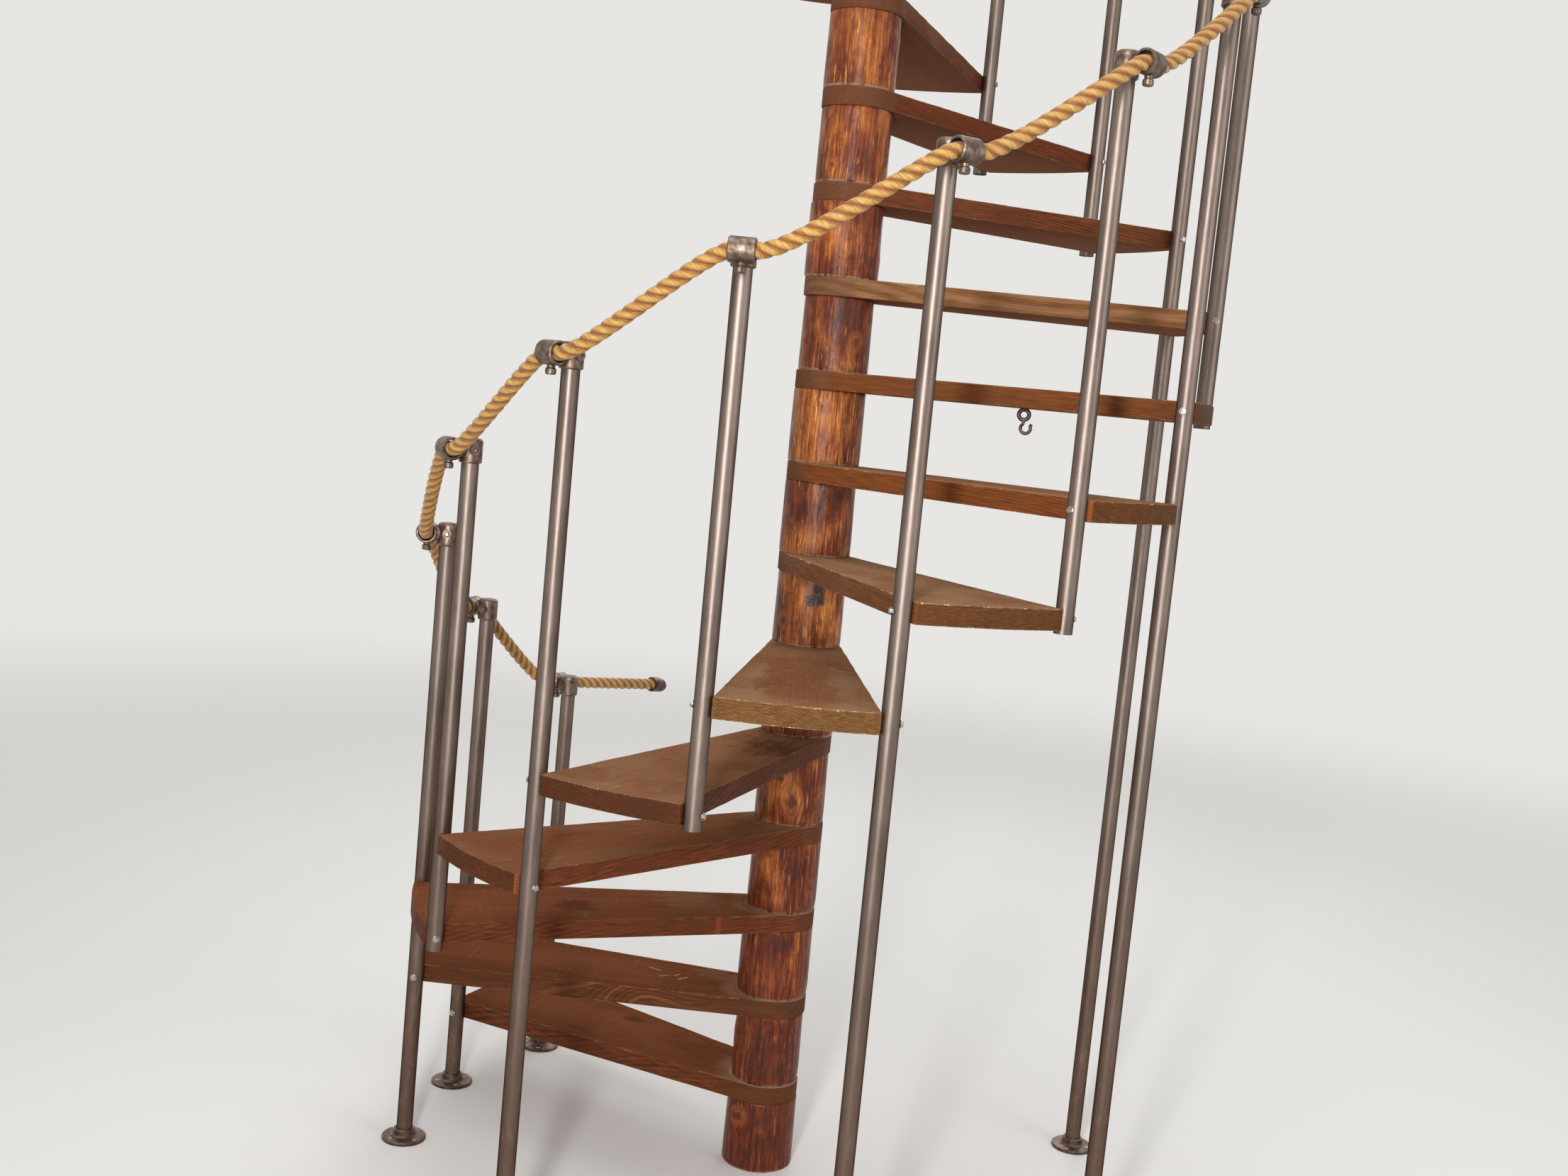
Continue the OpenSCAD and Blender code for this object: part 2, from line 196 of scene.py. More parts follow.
# Golden (above 0) and smoky (below 0) places on the logs: degrees, height, radius, amount
TONES = {
    1: ((-90, 0.08, 0.08, -0.5),),
    2: ((-62, 0.075, 0.050, -0.9), (-112, 0.05, 0.03, -0.5)),
    3: ((-100, 0.116, 0.022, -0.8), (-84, 0.125, 0.020, -0.6), (-70, 0.05, 0.03, 0.4)),
    4: ((-79, 0.105, 0.026, -1.0), (-66, 0.085, 0.022, -0.6), (-118, 0.095, 0.034, 0.9),
        (-98, 0.03, 0.03, 0.8)),
    5: ((-60, 0.09, 0.03, -0.6), (-112, 0.075, 0.030, 0.6)),
    6: ((-90, 0.03, 0.04, -0.6),),
    7: ((-62, 0.07, 0.030, 0.9), (-104, 0.10, 0.024, 0.5), (-138, 0.07, 0.050, -1.0),
        (-88, 0.05, 0.022, -0.5)),
    8: ((-82, 0.105, 0.034, -0.9), (-60, 0.125, 0.030, -0.8), (-92, 0.045, 0.038, 0.8),
        (-125, 0.08, 0.03, -0.5)),
    9: ((-96, 0.085, 0.045, 0.9), (-130, 0.05, 0.03, -0.4), (-58, 0.11, 0.03, -0.4)),
    10: ((-112, 0.06, 0.035, 0.5), (-80, 0.09, 0.045, -1.0)),
    11: ((-95, 0.08, 0.05, 0.7),),
    12: ((-70, 0.05, 0.03, -0.6), (-105, 0.10, 0.04, 0.6)),
}
# The dark stain on one log, of two rectangles: degrees, height, half its width and half its height
STAINED_LOG = 7
STAIN = ((-76, 0.110, 0.027, 0.047), (-89, 0.098, 0.022, 0.024))

# The camera: its place, its yaw, pitch and roll, and its lens and sensor in millimetres
EYE = (0.0170, -3.5841, 1.636)
EYE_TURN = (-1.175, -6.122, 5.455)
LENS = 39.3
SENSOR = 36.0
# The lamps: name, place, point that it faces, width, height, watts and spread
LAMPS = (
    ("key", (-0.50, -3.62, 2.0), (0.0, 0.0, 1.7), 0.34, 3.1, 37, 100),
    ("top", (-0.2, -1.2, 5.6), (0.0, 0.0, 1.0), 3.0, 3.0, 52, 180),
    ("fill", (3.2, -2.2, 2.4), (0.0, 0.0, 1.2), 2.2, 2.2, 26, 180),
    ("back", (0.5, 3.6, 3.4), (0.0, 0.0, 1.6), 2.4, 2.4, 36, 180),
)
WORLD_TONE = (1.0, 0.985, 0.965, 1.0)
WORLD_STRENGTH = 0.50
FLOOR_TONE = (0.80, 0.79, 0.77, 1.0)
FLOOR_R = 14.0
# Where the floor starts to fade into the backdrop and where it has gone
FADE = (2.5, 8.0)

UP = Vector((0, 0, 1))


# Places


def tread_z(n):
    return n * RISE


def tread_angle(n):
    return FIRST + (n - 1) * STEP


def post_angle(n):
    return FIRST + (n - 0.5) * STEP


def arm_angle(n):
    return post_angle(n) + FITTING_TURN[n]


def ring_z(n):
    return tread_z(n) + ROPE_H - (FIRST_DROP if n == 0 else 0.0)


def polar(radius, angle, z=0.0):
    a = radians(angle)
    return Vector((radius * cos(a), radius * sin(a), z))


def post_at(n, z=0.0):
    return polar(RAIL_R, post_angle(n), z)


def ring_dir(n, slope=RING_SLOPE):
    """Direction in which the rope climbs through ring n."""
    a, s = radians(arm_angle(n)), radians(slope)
    return Vector((-sin(a) * cos(s), cos(a) * cos(s), sin(s)))


def in_ring(n, s):
    """Point of the rope where it lies in ring n, s along the rope."""
    rest = (RING_BORE - ROPE_D) / 2 - ROPE_GAP - RING_LEN / 2 * sin(radians(RING_SLOPE))
    return post_at(n, ring_z(n) - rest) + polar(RING_ARM, arm_angle(n)) + s * ring_dir(n)


def angle_from(start, a):
    """Turn from one angle to another, within half a turn either way, in radians."""
    return (a - start + pi) % (2 * pi) - pi


def turns(count):
    """Angles at even steps of one turn, in radians."""
    return [2 * pi * j / count for j in range(count)]


def circle(radius, count, z=0.0):
    """Points of a level ring round Z."""
    return [Vector((radius * cos(a), radius * sin(a), z)) for a in turns(count)]


def arc(radius, start, end, steps):
    """Points in the plane from one angle to another, in radians."""
    angles = [start + (end - start) * i / steps for i in range(steps + 1)]
    return [Vector((radius * cos(a), radius * sin(a))) for a in angles]


def axes(x, y, z, at):
    """Matrix with these three directions as its axes, placed at a point."""
    return Matrix.Translation(at) @ Matrix((x, y, z)).transposed().to_4x4()


def along(direction, at):
    """Matrix whose Z points along a direction, placed at a point."""
    z = Vector(direction).normalized()
    x = z.orthogonal().normalized()
    return axes(x, z.cross(x), z, at)


def heading(path, i):
    """Direction of a path at one of its points."""
    return (path[min(i + 1, len(path) - 1)] - path[max(i - 1, 0)]).normalized()


def side_and_lift(direction):
    """The level direction across another one, and the upward direction square to both."""
    side = direction.cross(UP).normalized()
    return side, side.cross(direction)


# Meshes


def placed(name, data, matrix=Matrix()):
    """A new object in the scene."""
    obj = bpy.data.objects.new(name, data)
    obj.matrix_world = matrix
    bpy.context.scene.collection.objects.link(obj)
    return obj


def piece(name, bm, material, matrix=Matrix(), smooth=True):
    """A finished mesh object that rides with the stair."""
    bmesh.ops.recalc_face_normals(bm, faces=bm.faces)
    mesh = bpy.data.meshes.new(name)
    bm.normal_update()
    bm.to_mesh(mesh)
    bm.free()
    mesh.polygons.foreach_set("use_smooth", [smooth] * len(mesh.polygons))
    mesh.materials.append(material)
    obj = placed(name, mesh, matrix)
    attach(obj, "root")
    return obj


def assign(obj, **attributes):
    """Gives a mesh numbers or vectors that its material reads: one for all its points, or a list."""
    new = obj.data.attributes.new
    for name, values in attributes.items():
        if not isinstance(values, list):
            values = [values] * len(obj.data.vertices)
        if isinstance(values[0], float):
            new(name, "FLOAT", "POINT").data.foreach_set("value", values)
        else:
            new(name, "FLOAT_VECTOR", "POINT").data.foreach_set("vector", [c for v in values for c in v])


def bridge(bm, low, high):
    """Faces between two closed rows of vertices, of one length."""
    for j in range(len(low)):
        k = (j + 1) % len(low)
        bm.faces.new((low[j], low[k], high[k], high[j]))


def loft(bm, rings, caps=True):
    """Joins closed rings of points, all of one length, into a skin."""
    rows = [[bm.verts.new(p) for p in ring] for ring in rings]
    for low, high in zip(rows, rows[1:]):
        bridge(bm, low, high)
    if caps:
        bm.faces.new(list(reversed(rows[0])))
        bm.faces.new(rows[-1])
    return rows


def lathe(bm, profile, sides, matrix):
    """Turns a list of (radius, height) about Z."""
    return loft(bm, [[matrix @ q for q in circle(r, sides, z)] for r, z in profile])


def bored(bm, sides, height):
    """The rod's bore through a piece, as the points and the vertices of its lower and upper rim."""
    points = [circle(ROD_BORE_R, sides, z) for z in (0.0, height)]
    low, top = ([bm.verts.new(q) for q in rim] for rim in points)
    bridge(bm, top, low)
    return points, low, top


def ring_round(at, radius, side, other, angles):
    """Points round a point, in the plane of two directions."""
    return [at + radius * (cos(a) * side + sin(a) * other) for a in angles]


# Materials


def linear(colour):
    """A tone from 0 to 255 as seen on screen, in the values that nodes use; a node's output stays."""
    if not isinstance(colour, tuple):
        return colour
    parts = [c / 255.0 for c in colour]
    return (*(c / 12.92 if c <= 0.04045 else ((c + 0.055) / 1.055) ** 2.4 for c in parts), 1.0)


class Value:
    """What a node gives, with the signs of arithmetic and the nodes that often follow."""

    def __init__(self, nodes, socket):
        self.nodes = nodes
        self.socket = socket

    def math(self, operation, other=0.0, clamp=False):
        return self.nodes.take("Math", {0: self, 1: other}, operation=operation, use_clamp=clamp)

    def __add__(self, other):
        return self.math("ADD", other)

    def __sub__(self, other):
        return self.math("SUBTRACT", other)

    def __rsub__(self, other):
        return self * -1.0 + other

    def __mul__(self, other):
        return self.math("MULTIPLY", other)

    def __abs__(self):
        return self.math("ABSOLUTE")

    def wave(self, rate):
        return (self * rate).math("SINE")

    def span(self, low, high, to_low=0.0, to_high=1.0):
        """This value from low..high mapped smoothly to to_low..to_high and kept there."""
        values = {"Value": self, "From Min": low, "From Max": high, "To Min": to_low, "To Max": to_high}
        return self.nodes.take("MapRange", values, interpolation_type="SMOOTHSTEP")

    def ramp(self, *stops):
        """Colours between stops, each given as its place and its tone on screen."""
        node = self.nodes.add("ValToRGB", {0: self})
        points = node.color_ramp.elements
        while len(points) < len(stops):
            points.new(0.5)
        for point, (at, *tone) in zip(points, stops):
            point.position = at
            point.color = linear(tuple(tone))
        return Value(self.nodes, node.outputs[0])


def distance(x, y):
    """How far the point x, y lies from the axis."""
    return (x.math("POWER", 2.0) + y.math("POWER", 2.0)).math("SQRT")


class Nodes:
    """A node tree, with short calls to add nodes."""

    def __init__(self, owner):
        owner.use_nodes = True
        self.tree = owner.node_tree

    def add(self, kind, values=None, **properties):
        node = self.tree.nodes.new("ShaderNode" + kind)
        for key, value in properties.items():
            setattr(node, key, value)
        for key, value in (values or {}).items():
            self.put(node.inputs[key], value)
        return node

    def take(self, kind, values=None, output=0, **properties):
        """One output of a new node."""
        return Value(self, self.add(kind, values, **properties).outputs[output])

    def put(self, socket, value):
        """Links a socket to a node's output, or sets it to a plain value."""
        value = getattr(value, "socket", value)
        if isinstance(value, bpy.types.NodeSocket):
            self.tree.links.new(value, socket)
        else:
            socket.default_value = value


class Paint(Nodes):
    """The node tree of one material, and the colour that its coats have made so far."""

    def __init__(self, name, settings=None):
        self.material = bpy.data.materials.new(name)
        super().__init__(self.material)
        self.shader = self.tree.nodes["Principled BSDF"]
        for key, value in (settings or {}).items():
            self.put(self.shader.inputs[key], value)
        self.here = self.take("TexCoord", output="Object")
        # Noises are read here, unless they are given another point
        self.place = self.here
        self.colour = None

    def facing(self):
        return self.xyz(self.take("TexCoord", output="Normal"))

    def attribute(self, name, output="Fac"):
        return self.take("Attribute", output=output, attribute_name=name)

    def xyz(self, vector):
        return [Value(self, part) for part in self.add("SeparateXYZ", {0: vector}).outputs]

    def combine(self, x, y, z):
        return self.take("CombineXYZ", {0: x, 1: y, 2: z})

    def vector(self, operation, a, b, output="Vector"):
        return self.take("VectorMath", {0: a, 1: b}, output, operation=operation)

    def stretch(self, vector, scale, turn=(0, 0, 0), shift=(0, 0, 0)):
        values = {"Vector": vector, "Scale": scale, "Rotation": turn, "Location": shift}
        return self.take("Mapping", values)

    def noise(self, scale, detail=3.0, rough=0.55, warp=0.0, at=None, **place):
        """Clouds of 0 to 1, finer along an axis the larger its scale is."""
        scales = scale if isinstance(scale, tuple) else (scale, scale, scale)
        values = {
            "Vector": self.stretch(at or self.place, scales, **place), "Scale": 1.0,
            "Detail": detail, "Roughness": rough, "Distortion": warp,
        }
        return self.take("TexNoise", values, "Fac")

    def stroke(self, plan, start, end, width):
        """1 along a short line between two points of a plan, 0 away from it."""
        run = (end[0] - start[0], end[1] - start[1], 0.0)
        off = self.vector("SUBTRACT", plan, (*start, 0.0))
        part = self.vector("DOT_PRODUCT", off, run, "Value")
        part = part.math("DIVIDE", run[0] ** 2 + run[1] ** 2, clamp=True)
        reach = self.take("VectorMath", {0: run, "Scale": part}, operation="SCALE")
        return self.vector("DISTANCE", off, reach, "Value").span(width * 0.3, width, 1.0, 0.0)

    def mix(self, factor, a, b, blend="MIX"):
        values = {0: factor, 6: linear(a), 7: linear(b)}
        return self.take("Mix", values, 2, data_type="RGBA", blend_type=blend)

    def coat(self, mask, colour):
        """Lays a colour over the present one as far as the mask says."""
        self.colour = self.mix(mask, self.colour, colour)

    def bump(self, height, distance, strength, under=None):
        values = {"Height": height, "Distance": distance, "Strength": strength}
        if under is not None:
            values["Normal"] = under
        return self.take("Bump", values)

    def finish(self, roughness, normal):
        for key, value in (("Base Color", self.colour), ("Roughness", roughness), ("Normal", normal)):
            self.put(self.shader.inputs[key], value)
        return self.material


class TreadWood(Paint):
    """Wood of the planks, with the masks that its coats share."""

    def __init__(self):
        super().__init__("tread_wood")
        names = ("piece", "dusty", "olive", "wild", "number")
        self.own, self.dusty, self.olive, self.wild, self.number = map(self.attribute, names)
        # 1 on the treads, and 0 on the cap, which is of this wood but has no marks of its own
        self.is_tread = self.number.math("MINIMUM", 1.0)
        self.at = self.xyz(self.here)
        self.out = distance(self.at[0], self.at[1])
        self.place = self.vector("ADD", self.here, self.combine(self.own * 3.1, 0.0, self.own * 0.013))
        x, _, z = self.facing()
        self.top = z.span(0.6, 0.95)
        self.under = z.span(-0.95, -0.6, 1.0, 0.0)
        self.side = 1.0 - self.top.math("MAXIMUM", self.under)
        self.end = x.span(0.80, 0.93)
        self.blotch = self.noise((4, 8, 8), 3.0, 0.5)
        self.film = self.noise((7, 9, 9), 3.0, 0.5)
        self.pores = self.noise((9, 430, 430), 2.0).span(0.34, 0.44, 1.0, 0.0)
        self.growth = from_pith(self)
        self.grain = long_and_sawn(self)


def from_pith(p):
    """Distance from a wavy pith that lies below the board and off to one side."""
    board = p.stretch(p.here, (1, 1, 1), turn=(0, 0.016, 0.012), shift=(0, 0.045, 0.06))
    _, y, z = p.xyz(board)
    slow = p.noise((0.8, 6, 6), 2.0)
    arcs = p.noise((5.0, 3, 3), 0.0)
    return distance(y, z) + slow * 0.03 + arcs * p.wild * 0.075 + p.own * 0.37


def long_and_sawn(p):
    """Growth rings, with long fibres on the faces and short slanting ones on the sawn end."""
    rings = p.growth.wave(1500.0).span(-1.0, 1.0)
    rings = rings * p.noise((3, 20, 20), 2.0).span(0.35, 0.60, 0.25, 1.0) * 0.16
    fibre = p.noise((5, 210, 210), 3.0, 0.6)
    ray = p.noise((5, 60, 430), 2.0, 0.6, turn=(0.5, 0, 0))
    return (rings + fibre * 0.82) * (1.0 - p.end) + (rings + ray * 0.82) * p.end


def stained(p):
    """Brown stain, with lines of orange late wood on the boldly figured boards."""
    p.colour = p.grain.ramp((0.22, 130, 72, 41), (0.45, 105, 55, 32), (0.70, 72, 35, 21))
    p.coat(p.blotch.span(0.38, 0.66, 0.0, 0.70), (92, 49, 31))
    p.coat(p.pores * 0.35, (48, 25, 16))
    late = p.growth.wave(380.0).span(0.80, 1.0) * p.wild
    p.coat(late * p.blotch.span(0.36, 0.56, 0.32, 0.04) * p.side, (184, 110, 62))


def bleached(p):
    """Sides and ends of some treads are faded to olive, and a few sides are amber."""
    faded = p.grain.ramp((0.20, 150, 111, 68), (0.45, 125, 89, 53), (0.72, 88, 59, 34))
    ends = p.end * p.olive.span(0.0, 0.8, 0.15, 0.85)
    p.coat(p.side * ends.math("MAXIMUM", p.olive), faded)
    figure = p.mix(p.growth.wave(330.0).span(-0.8, 0.8), (92, 62, 46), (178, 136, 106))
    p.coat(p.side * 0.36 * p.wild * p.olive, figure)
    amber = p.grain.ramp((0.20, 148, 86, 42), (0.45, 128, 71, 33), (0.72, 100, 53, 26))
    p.coat((p.side - p.end * 0.7) * p.attribute("warm"), amber)


def sawn(p):
    """Painted glints of gold, a painted highlight, and slanting saw marks on the end grain."""
    p.coat(p.end * 0.55, p.mix(1.0, p.colour, (176, 172, 160), "MULTIPLY"))
    # Painted highlight: gold glints on the end grain
    painted_glint = p.noise((30, 110, 420), 3.0, 0.7, turn=(0.8, 0, 0)).span(0.56, 0.70)
    p.coat(painted_glint * p.end * p.olive.span(0.0, 0.8, 0.10, 0.34), (172, 130, 76))
    gouge = p.noise((30, 90, 380), 2.0, 0.7, turn=(-0.6, 0, 0)).span(0.56, 0.66)
    p.coat(gouge * p.end * 0.35, (74, 48, 28))


def shaded(p):
    """A paler underside, which is painted light, and darker sides on some treads."""
    # Painted light: the underside is made paler
    p.coat(p.under * 0.60, (126, 92, 74))
    p.coat(p.side * p.attribute("shade"), (52, 30, 22))


def trodden(p):
    """1 where feet have rubbed the middle of the tread."""
    wander = p.film - 0.5
    lane = (abs(p.at[1]) + wander * 0.10).span(0.050, 0.088, 1.0, 0.0)
    reach = (p.out + wander * 0.4).span(0.17, 0.30)
    rim = (p.out + wander * 0.3).span(0.68, 0.78, 1.0, 0.25)
    return lane * reach * rim * p.attribute("rubbed")


def dusted(p):
    """Dust stays at the newel and the sides, and lies in a pale crescent round the log above."""
    rubbed = trodden(p)
    dust = (1.0 - rubbed * 0.75) * p.film.span(0.30, 0.62, 0.55, 1.0) * p.dusty
    near = p.out.span(0.080, 0.130, 0.70, 0.0) * p.film.span(0.35, 0.55, 0.35, 1.0)
    p.dust = dust.math("MAXIMUM", near * p.is_tread) * p.top
    foot = p.out.span(0.0735, 0.0795, 0.85, 0.0) * p.film.span(0.30, 0.5, 0.3, 1.0)
    bare = p.grain.ramp((0.20, 158, 100, 68), (0.45, 140, 86, 56), (0.72, 112, 64, 41))
    p.coat(p.top * 0.40, bare)
    p.coat(rubbed * p.top * 0.45, (138, 84, 60))
    p.coat(p.dust, (158, 122, 92))
    p.coat(foot * p.top * p.is_tread, (170, 143, 120))


def hubbed(p):
    """The round hub is greyer than the rest of the tread's side."""
    hub = p.out.span(0.076, 0.084, 1.0, 0.0) * p.side
    p.coat(hub * p.dusty.span(0.0, 0.6, 0.12, 0.50), (96, 68, 50))


def scratched(p):
    """Faint scratches across the tread where soles turn, and broken curls."""
    mark = p.noise((210, 8, 8), 3.0, 0.7, turn=(0, 0, 0.12)).span(0.58, 0.72)
    p.coat(mark * p.top * 0.20, (172, 140, 114))
    curl = abs(p.noise(46, 1.0, 0.5, shift=(3, 1, 0)) - 0.5).span(0.004, 0.012, 1.0, 0.0)
    curl = curl * p.noise(24, 2.0, 0.6).span(0.56, 0.66) * p.top
    p.coat(curl * p.dusty.span(0.0, 0.9, 0.12, 0.50), (196, 172, 150))


def spotted(p):
    """Smudges, scuffs and dust that lie on single treads, each at a point with a radius."""
    for name, tone, strength, fine, across, low in SPOT_KINDS:
        x, y, size = p.xyz(p.attribute(name, "Vector"))
        near = p.vector("DISTANCE", p.here, p.combine(x, y, TREAD_T), "Value")
        ragged = p.noise((fine * 0.6, fine * across, fine), 4.0, 0.7, at=p.here)
        level = (ragged * 2.4 - near.math("DIVIDE", size)).span(low, low + 0.40, 0.0, strength)
        p.coat(level * p.top * p.is_tread, tone)


def struck(p):
    """The pale scratches of STROKES, frayed along their length."""
    plan = p.combine(p.at[0], p.at[1], 0.0)
    frayed = p.noise((260, 260, 1), 3.0, 0.7, at=p.here).span(0.36, 0.52, 0.15, 0.9)
    for n, start, end, width in STROKES:
        line = p.stroke(plan, start, end, width) * p.number.math("COMPARE", float(n))
        p.coat(line * frayed * p.top, (196, 168, 142))


def gritty(p):
    """Single pale specks on the dusty treads."""
    values = {"Vector": p.combine(p.at[0] + p.own, p.at[1], 0.0), "Scale": 24.0}
    cells = p.add("TexVoronoi", values, voronoi_dimensions="2D").outputs
    speck = Value(p, cells["Distance"]).span(0.020, 0.036, 1.0, 0.0) * p.top
    speck = speck * p.xyz(cells["Color"])[0].span(0.50, 0.52)
    p.coat(speck * p.dusty.span(0.2, 0.9, 0.0, 0.85), (222, 208, 190))


def plugged(p):
    """A plug of redder wood let into a side."""
    x, y, strength = p.xyz(p.attribute("plug", "Vector"))
    off = abs(p.at[0] - x).math("MAXIMUM", abs(p.at[1] - y))
    p.coat(off.span(0.0045, 0.0065, strength, 0.0) * p.side, (128, 58, 34))


def cornered(p):
    """Sawn corners with bright orange end grain."""
    comb = p.mix(p.at[2].wave(1900.0).span(-0.6, 0.8), (92, 54, 32), (168, 94, 50))
    p.coat(p.attribute("corner").span(0.45, 0.70, 0.0, 0.9) * p.side, comb)


def worn(p):
    """Arrises rubbed to bare wood, with pale nicks."""
    bare = p.attribute("wear") * p.noise((38, 60, 60), 4.0, 0.7).span(0.42, 0.62)
    bare = bare * p.out.span(0.076, 0.100, 0.10, 1.0)
    p.coat(bare * 0.60, (172, 138, 98))
    nick = p.noise((150, 170, 120), 2.0, 0.6).span(0.58, 0.64) * bare
    p.coat(nick * p.dusty.span(0.2, 0.8, 0.2, 0.9), (224, 204, 172))


def tread_wood():
    """Stained softwood planks: long grain, dust on top round a rubbed middle, worn arrises."""
    p = TreadWood()
    for coats in (
        stained, bleached, sawn, shaded, dusted, hubbed, scratched, spotted, struck, gritty, plugged,
        cornered, worn,
    ):
        coats(p)
    p.put(p.shader.inputs["Specular IOR Level"], p.side * 0.05)
    rough = p.dust * 0.20 + p.blotch.span(0.3, 0.7, 0.52, 0.68)
    broad = p.bump(p.noise((7, 18, 18), 2.0), 0.0025, 0.5)
    return p.finish(rough, p.bump(p.grain * 0.8 - p.pores * 0.4, 0.0006, 0.5, broad))


def log_wood():
    """Peeled, stained and varnished logs: long streaks that flow round knots, dark scars, gloss."""
    p = Paint("log_wood", {
        "Coat Weight": 0.24, "Coat Roughness": 0.22, "Coat IOR": 1.42, "Specular IOR Level": 0.08,
    })
    own, deep, tone, knot = map(p.attribute, ("piece", "deep", "tone", "knot"))
    p.place = p.vector("ADD", p.attribute("grain", "Vector"), p.combine(own, 0.0, own * 2.3))
    streak = p.noise((62, 62, 7), 4.0, 0.60, 0.5)
    line = p.noise((190, 190, 9), 4.0, 0.66)
    hair = p.noise((420, 420, 16), 3.0, 0.6)
    cloud = p.noise((16, 16, 8), 4.0, 0.56, 0.4)
    smoke = p.noise((26, 26, 22), 5.0, 0.68, shift=(5, 2, 9))
    mottle = p.noise((72, 72, 46), 5.0, 0.72, shift=(2, 7, 3))
    grain = streak * 0.24 + line * 0.34 + hair * 0.22 + mottle * 0.20 + tone * 0.035
    p.colour = grain.ramp((0.40, 84, 39, 21), (0.47, 128, 68, 33), (0.53, 160, 92, 43), (0.60, 200, 132, 64))
    red = grain.ramp((0.41, 60, 25, 17), (0.50, 93, 39, 25), (0.59, 132, 65, 36))
    p.coat((cloud + deep * 0.17 - tone * 0.10).span(0.42, 0.64, 0.0, 0.94), red)
    # Smoky blotches that follow no grain
    p.coat((smoke - tone * 0.16).span(0.50, 0.70, 0.0, 0.58), p.mix(hair, (52, 30, 27), (84, 50, 38)))
    # Scratchy lines of bare gold where the bark knife ran
    bare = p.noise((170, 170, 11), 5.0, 0.76, 0.3).span(0.56, 0.63)
    bare = bare * (p.noise((16, 16, 13), 2.0) + tone * 0.08).span(0.42, 0.58)
    p.coat(bare * deep.span(0.0, 1.0, 0.85, 0.45), p.mix(deep, (228, 166, 96), (196, 108, 44)))
    scar = p.noise((34, 34, 22), 5.0, 0.74, 1.0).span(0.61, 0.67)
    p.coat(scar * 0.55, (56, 29, 24))
    # Knots: wavy collars round a dark eye
    collar = knot.span(0.12, 0.5)
    p.coat(collar * 0.30, (178, 100, 48))
    p.coat(collar * (knot + streak * 2.8).wave(10.0).span(0.0, 0.9, 0.0, 0.50), (94, 44, 26))
    p.coat((knot + line * 0.8).span(1.15, 1.36) * 0.8, (72, 34, 22))
    # The dark stain, with chipped edges
    chip = p.noise((110, 110, 90), 4.0, 0.7)
    stain = (p.attribute("stain") + chip * 0.8).span(0.54, 0.60)
    p.coat(stain, p.mix(chip.span(0.4, 0.6), (50, 44, 46), (88, 72, 66)))
    # Dust lies on the lowest edge of each log
    foot = p.xyz(p.here)[2].span(0.001, 0.006, 0.8, 0.0)
    p.coat(foot * streak.span(0.35, 0.55), (160, 136, 114))
    broad = p.bump(p.noise((34, 34, 8)), 0.005, 0.8)
    normal = p.bump(grain - scar * 0.25, 0.0018, 0.8, broad)
    p.put(p.shader.inputs["Coat Normal"], normal)
    return p.finish(cloud.span(0.35, 0.7, 0.34, 0.52), normal)


def pipe_steel():
    """Bare steel pipe: pewter brown, satin, with dark edges and a fine drawn finish."""
    p = Paint("pipe_steel", {"Metallic": 1.0, "Specular Tint": (0.07, 0.045, 0.025, 1.0)})
    blotch = p.noise((22, 22, 6), 5.0, 0.6)
    lines = p.noise((900, 900, 30), 3.0, 0.6)
    p.colour = blotch.ramp((0.30, 112, 99, 91), (0.64, 138, 124, 115))
    # Browner and duller near the floor, which is a painted reflection of the floor, with some dust
    height = p.xyz(p.here)[2]
    p.coat(height.span(0.1, 1.2, 0.74, 0.0), (104, 79, 65))
    dust = p.noise((46, 46, 20), 5.0, 0.72).span(0.50, 0.66)
    p.coat(dust * height.span(0.0, 0.8, 0.36, 0.0), (148, 132, 120))
    p.coat(lines.span(0.35, 0.75, 0.0, 0.30), (72, 58, 52))
    p.coat(p.noise((75, 75, 60), 3.0, 0.7).span(0.68, 0.76, 0.0, 0.5), (84, 60, 48))
    return p.finish(blotch.span(0.3, 0.7, 0.34, 0.42) + lines * 0.10, p.bump(lines, 0.00012, 0.35))


def cast_iron(name, dark, pale, dust):
    """Sand-cast metal, lumpy and a little glossy on its high spots, with dust on what faces up."""
    p = Paint(name, {"Metallic": 0.85})
    lump = p.noise(75, 4.0, 0.6)
    sand = p.noise(650, 3.0, 0.6)
    p.colour = lump.ramp((0.35, *dark), (0.66, *pale))
    p.coat(sand.span(0.55, 0.75, 0.0, 0.35), pale)
    up = p.facing()[2].span(0.2, 0.9, 0.0, dust)
    p.coat(up * lump.span(0.35, 0.60, 0.5, 1.0), (150, 124, 110))
    broad = p.bump(lump, 0.0018, 0.45)
    return p.finish(lump.span(0.3, 0.7, 0.50, 0.32), p.bump(sand, 0.0004, 0.5, broad))


def plated_steel():
    """Bright zinc-plated fasteners."""
    p = Paint("plated_steel", {"Metallic": 1.0})
    tone = p.noise(180)
    p.colour = tone.ramp((0.3, 146, 141, 132), (0.7, 188, 184, 174))
    return p.finish(tone.span(0.3, 0.7, 0.24, 0.38), p.bump(tone, 0.0002, 0.3))


